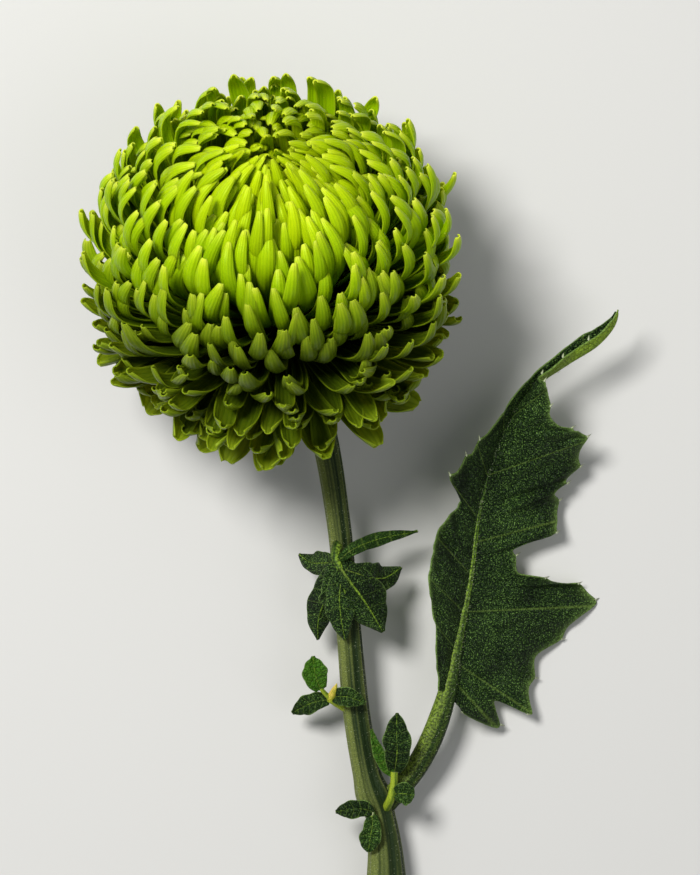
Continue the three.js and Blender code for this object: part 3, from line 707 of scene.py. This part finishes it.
# %% Grow the stem
STEM_PATH = [
    (0.76, -25.8, 23.6),
    (3, -31.5, 20.4),
    (7.8, -40.5, 19.4),
    (13.6, -51.5, 19.6),
    (19.2, -81, 19.4),
    (22, -110, 15),
    (24.8, -140, 11.6),
    (28.4, -160, 9.6),
    (31.8, -170, 8.9),
    (33.4, -182, 8.2),
    (33.6, -204, 6.6),
    (33, -228, 5.4),
]
STEM_RADII = [4.5, 4.1, 3.7, 3.4, 3.3, 3.5, 3.8, 3.9, 4.2, 5.7, 6, 5.9]
STEM_SIDES = 84
STEM_SEGMENTS = 190
# The swelling where the large leaf joins: its share of the length, height (mm) and spread.
NODE_SHARE = 0.69
NODE_SWELLING = 0.9
NODE_SPREAD = 0.02


def stem_radius(share, turn):
    swelling = NODE_SWELLING * math.exp(-((share - NODE_SHARE) / NODE_SPREAD) ** 2)
    ribs = 0.07 * math.cos(STEM_RIBS * turn) + 0.012 * math.cos(3 * STEM_RIBS * turn)
    return (along(STEM_RADII, share) + swelling) * (1 + ribs)


def grow_stem():
    bm, layers = begun("along", "rib", "cut")
    # The stem's right side faces the light and is painted paler, as painted light.
    grow_rod(bm, layers, Line(STEM_PATH), stem_radius, STEM_SIDES, STEM_SEGMENTS, lit_side=1)
    finished("stem_rod", bm, stem_skin, "stem", "stem")


grow_stem()


# %% [markdown]
# Short pale hairs stand on the stem, all round but underneath. A hair needs no more than a
# three-sided point, and the same point ends the lobes and teeth of the leaves.

# %% Hairs on the stem
STEM_HAIRS = 1100
STEM_HAIR_SEED = 11


def spike(bm, foot, heading, length, radius):
    """A thin three-sided point, such as a hair or the tip of a tooth."""
    turn = heading.to_track_quat("Z", "Y").to_matrix().to_4x4()
    matrix = Matrix.Translation(foot + heading.normalized() * length / 2) @ turn
    bmesh.ops.create_cone(bm, segments=3, radius1=radius, radius2=0, depth=length, matrix=matrix)


def grow_stem_hairs():
    bm = bmesh.new()
    line = Line(STEM_PATH)
    rng = random.Random(STEM_HAIR_SEED)
    for _ in range(STEM_HAIRS):
        share = rng.uniform(0.12, 0.97)
        turn = rng.uniform(-2.2, 2.2)
        place, ahead, right, above = line.at(share)
        out = right * math.sin(turn) + above * math.cos(turn)
        foot = place + out * (stem_radius(share, turn) - 0.05)
        spike(bm, foot, out - 0.3 * ahead, length=rng.uniform(0.4, 0.9), radius=0.05)
    finished("stem_hairs", bm, hair_skin, "stem", "stem")


grow_stem_hairs()


# %% [markdown]
# ## The leaves
# A leaf is a thin blade on its midrib. Veins leave the midrib on both sides and end in the lobes
# and teeth of the margin. The blade is a grid whose rows are those veins, so lobes, folds and
# quilting all follow them.

# %% A blade on its midrib
BLADE_FLOOR = 0.6
BLADE_WALL = 0.6


def blade_place(line, shape, side):
    """A place on a blade. shape is distance, reach, sweep, fold and lift of the vein through it."""
    distance, reach, sweep, fold, lift = shape
    place, ahead, right, above = line.at(distance / line.length)
    out = reach * abs(side)
    level = out * math.cos(math.radians(sweep))
    place = place + ahead * out * math.sin(math.radians(sweep))
    place += right * math.copysign(level, side) * math.cos(math.radians(fold))
    place += above * (level * math.sin(math.radians(fold)) + lift)
    place.z = max(place.z, BLADE_FLOOR)
    return place


def grow_blade(bm, layers, line, columns, rows, shape_of, fresh=0):
    """shape_of gives, for a row and a side, the shape of the vein and how far off a vein is."""
    made = bmesh.ops.create_grid(bm, x_segments=columns, y_segments=rows, size=0.5)["verts"]
    run, across, vein_layer, fresh_layer = layers
    for vert in made:
        side = 2 * vert.co.x
        shape, vein = shape_of(round((vert.co.y + 0.5) * rows), side)
        vert.co = blade_place(line, shape, side)
        vert[run] = shape[0] / line.length
        vert[across] = side
        vert[vein_layer] = vein
        vert[fresh_layer] = fresh


def mark_upper(bm):
    """Notes on every vertex which way is up from its blade, so that paint can tell the faces apart."""
    upper = bm.verts.layers.float_vector.new("upper")
    bm.normal_update()
    for vert in bm.verts:
        vert[upper] = vert.normal


# %% [markdown]
# The large leaf leaves the stem at the swelling, rises beside it and folds over at its tip. Its
# midrib and its margins are written as short lists, and folds, teeth and puckers are added to
# them by rule.

# %% The form of the large leaf
LEAF_MIDRIB = [
    (33.5, -166.5, 9.6),
    (38.4, -161, 10),
    (42.6, -155.5, 10.8),
    (46.9, -147.5, 12),
    (51.2, -135.4, 13),
    (54.4, -120.4, 13),
    (58.6, -99.4, 13),
    (61.9, -75.4, 14),
    (67.7, -57.5, 15),
    (76.2, -43, 17.5),
    (86.6, -35.4, 20.5),
    (96.8, -28.8, 22),
    (101.4, -23, 22.6),
    (102.4, -18.7, 23),
]
LEAF_RIB_RADII = [2.3, 2.4, 2.4, 2.1, 1.7, 1.4, 1.2, 1, 0.9, 0.8, 0.6, 0.5]
# Distance along the midrib, then reach and forward sweep of the left vein, then of the right.
LEAF_ROWS = [
    (39, 4.6, 0, 5, -40),
    (41.5, 5.6, 10, 9.5, -52),
    (43.6, 7.4, 10, 22.5, -35),
    (45.8, 9, 15, 17, -24),
    (48.4, 11, 24, 30.5, -22),
    (52, 14, 28, 26, -13),
    (55.5, 17.5, 26, 26.5, -2),
    (59.5, 19, 25, 33, 7),
    (63.5, 20, 24, 42, 13),
    (67.5, 19.4, 24, 38, 16),
    (70, 19, 25, 33, 13),
    (72.3, 19, 28, 25, 11),
    (74.8, 19, 33, 15.5, 8),
    (78, 17.8, 36, 12.5, 24),
    (81.5, 16, 42, 24.5, 16),
    (84.5, 13.6, 46, 27.7, 19),
    (89, 11.4, 42, 26, 27),
    (92, 18.1, 34, 27.5, 27),
    (95, 17.5, 40, 29.3, 27),
    (99.5, 15, 44, 30.5, 30),
    (105, 13.2, 38, 31.2, 36),
    (110.5, 10.9, 43, 27.6, 38),
    (115.5, 8.9, 47, 20, 36),
    (118.5, 8, 50, 16, 46),
    (124, 6.5, 45, 17.3, 56),
    (129, 5.5, 45, 13.3, 50),
    (134, 5, 40, 8, 45),
    (140, 5.2, 35, 5.5, 35),
    (147, 5.8, 35, 5.4, 32),
    (153, 6.4, 32, 5, 30),
    (159, 5, 32, 4.2, 30),
    (165, 2.8, 30, 3, 30),
    (170, 0.8, 20, 0.8, 20),
]
LEAF_LEFT_FOLD = [40, 50, 55, 50, 40, 50, 62, 50, 15, 12]
LEAF_RIGHT_FOLD = [-8, -17.5, -19.5, -19, -17, -14, 10, 100, 132, 132]
LEAF_LEFT_VEINS = [52, 63.5, 74.8, 92, 105, 118.5, 134, 153]
LEAF_RIGHT_VEINS = [43.6, 48.4, 63.5, 84.5, 105, 124, 140, 153]
# Rows of the grid to each listed row and to each tooth, and the toothed rows on the left.
LEAF_SPLIT = 4
TOOTH_ROWS = 6
LEFT_TEETH = range(66, 85)
LEAF_COLUMNS = 28
# Where the margin reaches less far than this (mm), its relief is lower too.
FULL_REACH = 20


def leaf_rows():
    rows = []
    for low, high in zip(LEAF_ROWS, LEAF_ROWS[1:]):
        rows += [[lerp(a, b, i / LEAF_SPLIT) for a, b in zip(low, high)] for i in range(LEAF_SPLIT)]
    rows.append(LEAF_ROWS[-1])
    return rows


def tooth_height(row, is_left):
    """The left margin is nearly smooth but for its upper lobe, and the right one is toothed."""
    uneven = 2.6 + 1.8 * noise.noise((row // TOOTH_ROWS * 1.7, 4, 9))
    if is_left and row not in LEFT_TEETH:
        return 0.15 * uneven
    return uneven


def leaf_shape(line, rows, row, side):
    """The shape of the vein in a row, for one side of the large leaf, and the way to a main vein."""
    distance, left_reach, left_sweep, right_reach, right_sweep = rows[row]
    is_left = side < 0
    reach, sweep = (left_reach, left_sweep) if is_left else (right_reach, right_sweep)
    veins = LEAF_LEFT_VEINS if is_left else LEAF_RIGHT_VEINS
    vein = min(abs(distance - start) for start in veins)
    fold = along(LEAF_LEFT_FOLD if is_left else LEAF_RIGHT_FOLD, distance / line.length)
    breadth = min(reach / FULL_REACH, 1)
    tooth = 1 - abs(row % TOOTH_ROWS - TOOTH_ROWS / 2) / (TOOTH_ROWS / 2)
    reach += tooth_height(row, is_left) * breadth * abs(side) ** 2 * (tooth ** 2 - 0.3)
    # The margin waves, the blade bulges between its veins, and its skin is puckered.
    lift = 1.3 * side * side * breadth * math.sin(row / LEAF_SPLIT * 1.9)
    quilt = min(vein / 2.5, 1) * min(abs(side) * 4, 1) * (1 - abs(side) ** 3)
    pucker = noise.noise((distance * 0.45, side * 3.5, 3)) + 0.5 * noise.noise((distance, side * 9, 8))
    folds = math.sin(distance * 0.9 + 2 * side) * side * side
    lift += breadth * (0.6 * quilt + (1.7 * pucker + 0.9 * folds) * min(abs(side) * 3, 1))
    return (distance, reach, sweep, fold, lift), vein


# %% Grow the large leaf
RIB_SINK = 0.4
LEAF_HAIRS = 700
LEAF_HAIR_SEED = 5


def grow_leaf_points(bm, line, rows):
    """The pale points in which the lobes and teeth end."""
    for side in (-1, 1):
        for i in range(TOOTH_ROWS // 2, len(rows) - TOOTH_ROWS, TOOTH_ROWS):
            shape = leaf_shape(line, rows, i, side)[0]
            if shape[1] < 5 or tooth_height(i, side < 0) < 1.2:
                continue
            foot, inner = (blade_place(line, shape, side * share) for share in (0.97, 0.85))
            out = (foot - inner).normalized() + Vector((0, 0.4, 0))
            spike(bm, foot, out, length=1.8, radius=0.45)


def leaf_rib_radius(share, turn):
    """The petiole and midrib are broader than they are deep, and slimmer inside the blade."""
    slimmer = 1 - 0.45 * smooth(share, 0.12, 0.45) - 0.2 * smooth(share, 0.7, 0.85)
    return along(LEAF_RIB_RADII, share) * slimmer * (1 + 0.4 * math.sin(turn) ** 2)


def grow_leaf_hairs(bm, line):
    rng = random.Random(LEAF_HAIR_SEED)
    for _ in range(LEAF_HAIRS):
        share = rng.uniform(0.02, 0.9)
        place, ahead, right, above = line.at(share)
        turn = rng.gauss(0, 0.9)
        out = right * math.sin(turn) + above * math.cos(turn)
        foot = place + out * leaf_rib_radius(share, turn) * 0.95 - UP * RIB_SINK
        spike(bm, foot, out + 0.4 * ahead, length=rng.uniform(0.5, 1.0), radius=0.06)


def grow_large_leaf():
    line = Line(LEAF_MIDRIB)
    rows = leaf_rows()
    bm, layers = begun("along", "across", "vein", "fresh")

    def shape_of(row, side):
        return leaf_shape(line, rows, row, side)

    grow_blade(bm, layers, line, LEAF_COLUMNS, len(rows) - 1, shape_of)
    mark_upper(bm)
    blade = finished("large_leaf_blade", bm, leaf_skin, "leaves", "large_leaf")
    thicken(blade, BLADE_WALL, -1)
    bm, layers = begun("along", "rib", "cut")
    grow_rod(bm, layers, line, leaf_rib_radius, sides=20, segments=90, sink=RIB_SINK)
    finished("large_leaf_rib", bm, rib_skin, "leaves", "large_leaf")
    bm = bmesh.new()
    grow_leaf_points(bm, line, rows)
    grow_leaf_hairs(bm, line)
    finished("large_leaf_points", bm, hair_skin, "leaves", "large_leaf")


grow_large_leaf()


# %% [markdown]
# The small leaves have the same make. Each is a pointed oval with a few teeth, folded a little
# along its middle, and the leaves of one shoot meet on a short stalk. Seven ovals that overlap
# make the lobes of the upper leaf.

# %% The form of the small leaves
# Half width, fold of the sides, freshness of the green, place of the widest part, and middle line.
UPPER_LEAF_LOBES = [
    (9.4, -30, 0, 1, (18, -92.5, 24.6), (21.3, -97.5, 27), (27.2, -105.6, 25.5), (32.6, -114.7, 20)),
    (9.6, -22, 0, 1, (18.4, -91.6, 24), (20.4, -98, 26), (21.4, -104, 24.6), (22.2, -112, 21)),
    (6, -25, 0, 1, (19, -94, 25), (15.6, -104, 21), (13.3, -111, 17), (13.1, -117.4, 12.5)),
    (5, -15, 0, 1, (20.4, -96, 26), (19.6, -104, 25.4), (20, -110, 24), (21.3, -117.1, 21)),
    (4.2, -20, 0, 1, (19, -93.6, 25), (15, -94, 21.5), (11, -94, 17), (7.4, -91.6, 13)),
    (2.6, -25, 0.2, 1, (19, -93.6, 25.4), (23.4, -90, 26.6), (31, -87, 22.5), (43.1, -84.7, 16.4)),
    (5.6, -20, 0, 1, (21.4, -96, 26.6), (27.6, -98, 24.6), (33, -98.6, 19), (38.3, -95.5, 14)),
]
# Radii along a stalk, and its middle line.
UPPER_LEAF_STALKS = [
    ((1.7, 1.5, 1.3, 1), (19.4, -88, 20), (18.6, -90.4, 23), (18.6, -93, 24.6), (20, -96, 25.8)),
]
LEFT_SHOOT_LEAVES = [
    (4.2, 14, 1, 1.1, (14.4, -132.2, 17.4), (13.1, -129.6, 19.4), (12.2, -126, 21.4), (11.7, -121.7, 23)),
    (3.3, 16, 0.1, 1, (17, -135, 15.4), (13, -135.6, 14), (9.4, -137, 12), (5.3, -139.4, 9.6)),
    (3.1, 12, 0.1, 1, (17, -134.6, 16), (19.6, -133.9, 18.8), (23, -134.2, 20.4), (27.4, -135.9, 19.4)),
]
LEFT_SHOOT_STALKS = [
    ((1.4, 1.3, 1.3), (22, -138, 12), (19.4, -136.4, 14), (16.8, -134.6, 15.8)),
    ((0.9, 0.7, 0.6), (17, -134.8, 15.6), (15.6, -133.4, 16.8), (14, -131.6, 17.8)),
]
# A yellow bud between the leaves.
LEFT_BUD = [(17, -134.8, 15.4), (17.8, -132.8, 17.6), (18.8, -130, 19.8)]
LEFT_BUD_RADII = [1.3, 1.25, 0.9, 0.15]
AXIL_SHOOT_LEAVES = [
    (1.9, 25, 0.7, 1, (36, -158, 15.2), (32.8, -154.4, 15.8), (30.8, -149.4, 16.2), (29, -143.8, 16)),
    (4.8, 16, 0.05, 1.1, (36, -157, 15), (36.8, -151, 18), (36.6, -145, 20.4), (36.7, -138.6, 22)),
    (3.8, 14, 0.15, 1.3, (35.6, -163.4, 15), (37.4, -163, 17), (39.4, -163, 18), (42, -163.6, 18)),
]
AXIL_SHOOT_STALKS = [
    ((1.4, 1.3, 1.2, 1.1), (33.4, -168, 11), (34.8, -165, 14.6), (35.8, -161, 15.4), (36, -156.6, 15.8)),
]
LOWER_SHOOT_LEAVES = [
    (3, 16, 0.05, 1, (30, -168.8, 15.6), (26.6, -167.6, 16.8), (22.8, -167.8, 16.4), (18.4, -168.6, 14)),
    (3.5, 12, 0.15, 1.3, (29.4, -168.8, 15.6), (29.4, -172.6, 16.6), (28.7, -176.4, 16),
     (28.2, -180.8, 13.8)),
]
LOWER_SHOOT_STALKS = [
    ((1.5, 1.3, 1.2), (29.4, -171, 11), (29.4, -170, 14), (29, -169, 16)),
]


# %% Grow the small leaves
SMALL_ROWS = 30
SMALL_COLUMNS = 12
SMALL_SWEEP = 22
SMALL_TEETH = 3
MIDRIB_SHARES = [0.05, 0.045, 0.035, 0.025]
MIDRIB_END = 0.1


def grow_small_blade(bm, layers, half, fold, fresh, peak, *points):
    """One pointed oval. Its teeth, bulges and puckers grow with its half width."""
    line = Line(points)

    def shape_of(row, side):
        share = row / SMALL_ROWS
        oval = math.sin(math.pi * (0.12 + 0.86 * share ** peak)) ** 0.8
        tooth = 0.88 + 0.12 * abs(math.sin(math.pi * share * SMALL_TEETH))
        reach = 0.3 * (1 - share) + half * oval * tooth * (1 - 0.4 * share ** 5) + 0.05
        vein = abs((share * 2 * SMALL_TEETH + 0.5) % 1 - 0.5) * half * 1.4
        quilt = min(vein, 1) * min(abs(side) * 4, 1) * (1 - abs(side) ** 3)
        pucker = noise.noise((share * 6, side * 2.5, half))
        lift = 0.25 * quilt + 0.12 * half * pucker * min(abs(side) * 3, 1)
        return (share * line.length, reach, SMALL_SWEEP, fold, lift), vein

    grow_blade(bm, layers, line, SMALL_COLUMNS, SMALL_ROWS, shape_of, fresh)


def grow_twig(bm, layers, points, radii, sides, segments):
    """A small rod whose radii are spaced evenly along it."""
    grow_rod(bm, layers, Line(points), lambda share, turn: along(radii, share), sides, segments)


def grow_shoot(name, leaves, stalks, stalk_skin):
    bm, layers = begun("along", "across", "vein", "fresh")
    for leaf in leaves:
        grow_small_blade(bm, layers, *leaf)
    mark_upper(bm)
    piece = finished(f"{name}_blades", bm, leaf_skin, "leaves", name)
    thicken(piece, BLADE_WALL, -1)
    bm, layers = begun("along", "rib", "cut")
    for radii, *points in stalks:
        grow_twig(bm, layers, points, radii, sides=16, segments=20)
    finished(f"{name}_stalks", bm, stalk_skin, "leaves", name)
    bm, layers = begun("along", "rib", "cut")
    for half, _, _, _, *points in leaves:
        radii = [share * half for share in MIDRIB_SHARES] + [MIDRIB_END]
        grow_twig(bm, layers, points, radii, sides=8, segments=20)
    finished(f"{name}_midribs", bm, rib_skin, "leaves", name)


def grow_left_bud():
    bm, layers = begun("along", "rib", "cut")
    grow_twig(bm, layers, LEFT_BUD, LEFT_BUD_RADII, sides=12, segments=12)
    finished("left_shoot_bud", bm, bud_skin, "leaves", "left_shoot")


grow_shoot("upper_leaf", UPPER_LEAF_LOBES, UPPER_LEAF_STALKS, rib_skin)
grow_shoot("left_shoot", LEFT_SHOOT_LEAVES, LEFT_SHOOT_STALKS, shoot_skin)
grow_left_bud()
grow_shoot("axil_shoot", AXIL_SHOOT_LEAVES, AXIL_SHOOT_STALKS, shoot_skin)
grow_shoot("lower_shoot", LOWER_SHOOT_LEAVES, LOWER_SHOOT_STALKS, rib_skin)


# %% [markdown]
# ## The involucre
# Under every head is a shallow cup of overlapping green bracts. They could be cut into the cup,
# but separate bracts show their edges. So the cup is turned round the bloom's axis, and the
# bracts are small pointed blades laid on it in rows.

# %% Cup and bracts
CUP_PROFILE = [(0, -8), (5.5, -8), (9.7, -5.3), (11.5, -2.4), (11.5, 0), (8, 0), (0, 0)]
# A bract is blunt at its tip, hollow across, and stands proud of the cup.
BRACT_TIP = 0.02
BRACT_HOLLOW = 0.5
BRACT_PROUD = 0.25
# Count, foot height, foot reach, flare, length and width of each row of bracts.
BRACT_ROWS = [(8, -7.4, 8, 3, 6.6, 7), (8, -5.4, 10, 2.4, 5, 7.4), (16, -3.6, 10.8, 1.4, 3.4, 4.6)]


def grow_cup(bm):
    rings = len(CUP_PROFILE) - 1
    made = bmesh.ops.create_grid(bm, x_segments=40, y_segments=rings, size=0.5)["verts"]
    for vert in made:
        turn = 2 * math.pi * (vert.co.x + 0.5)
        reach, height = CUP_PROFILE[round((vert.co.y + 0.5) * rings)]
        vert.co = BLOOM @ Vector((reach * math.cos(turn), reach * math.sin(turn), height))
    bmesh.ops.remove_doubles(bm, verts=made, dist=0.001)


def grow_bract(bm, layers, turn, foot, reach, flare, length, width):
    made = bmesh.ops.create_grid(bm, x_segments=6, y_segments=8, size=0.5)["verts"]
    run, across = layers
    for vert in made:
        share = vert.co.y + 0.5
        side = 2 * vert.co.x
        half = width / 2 * math.sqrt(max(1 - share * share, BRACT_TIP))
        spin = turn + side * half / reach
        out = reach + flare * share - BRACT_HOLLOW * side * side + BRACT_PROUD
        vert.co = BLOOM @ Vector((out * math.cos(spin), out * math.sin(spin), foot + length * share))
        vert[run] = share
        vert[across] = side


def grow_involucre():
    bm = bmesh.new()
    grow_cup(bm)
    finished("involucre_cup", bm, bract_skin, "bracts", "involucre")
    bm, layers = begun("along", "across")
    for place, (count, *row) in enumerate(BRACT_ROWS):
        for j in range(count):
            grow_bract(bm, layers, 2 * math.pi * (j + place / 2) / count, *row)
    bracts = finished("involucre_bracts", bm, bract_skin, "bracts", "involucre")
    thicken(bracts, BLADE_WALL)


grow_involucre()


# %% [markdown]
# ## Floor, light and camera
# The flower lies on a plain pale table. A single matt square is enough, if it is wide enough to
# fill every view.

# %% Floor
FLOOR_HALF_WIDTH = 3


def pale_floor():
    bm = bmesh.new()
    bmesh.ops.create_grid(bm, x_segments=1, y_segments=1, size=FLOOR_HALF_WIDTH)
    mesh = bpy.data.meshes.new("floor")
    bm.to_mesh(mesh)
    bm.free()
    floor = bpy.data.objects.new("floor", mesh)
    bpy.context.scene.collection.objects.link(floor)
    floor.data.materials.append(Paint("floor_paper", 0.8).plain((0.62, 0.61, 0.58)))
    print("floor", 2 * FLOOR_HALF_WIDTH, "m wide")


pale_floor()


# %% [markdown]
# A soft light stands high beyond the crown and to its left, so the top of the bloom is bright
# and its skirt falls into shade. A wide, weak one on the other side and a dim sky keep that
# shade green instead of black.

# %% Lights
SKY_STRENGTH = 0.25


def soft_light(name, place, target, size, power):
    light = bpy.data.lights.new(name, "AREA")
    light.shape = "DISK"
    light.size = size
    light.energy = power
    lamp = bpy.data.objects.new(name, light)
    bpy.context.scene.collection.objects.link(lamp)
    lamp.location = place
    lamp.rotation_euler = (Vector(target) - Vector(place)).to_track_quat("-Z", "Y").to_euler()
    print(name, power, "W")


soft_light("key_light", place=(-0.46, 0.44, 1.1), target=(0, 0.07, 0.04), size=0.4, power=17)
soft_light("fill_light", place=(0.7, -0.3, 1.0), target=(0, 0, 0.03), size=1.0, power=2.5)
bpy.context.scene.view_settings.view_transform = "Standard"
world = bpy.data.worlds.new("studio")
bpy.context.scene.world = world
world.use_nodes = True
sky = world.node_tree.nodes["Background"]
sky.inputs["Color"].default_value = (0.9, 0.95, 1, 1)
sky.inputs["Strength"].default_value = SKY_STRENGTH


# %% [markdown]
# The camera looks straight down. A long lens from well above keeps the globe of the bloom from
# bulging towards it.

# %% Camera
CAMERA_PLACE = (-0.00126, 0.0328, 1.4505)
CAMERA_LENS = 197.6
camera_data = bpy.data.cameras.new("camera")
camera_data.sensor_width = 36
camera_data.lens = CAMERA_LENS
camera = bpy.data.objects.new("camera", camera_data)
camera.location = CAMERA_PLACE
bpy.context.scene.collection.objects.link(camera)
bpy.context.scene.camera = camera
print("camera", CAMERA_PLACE[2], "m above the table")
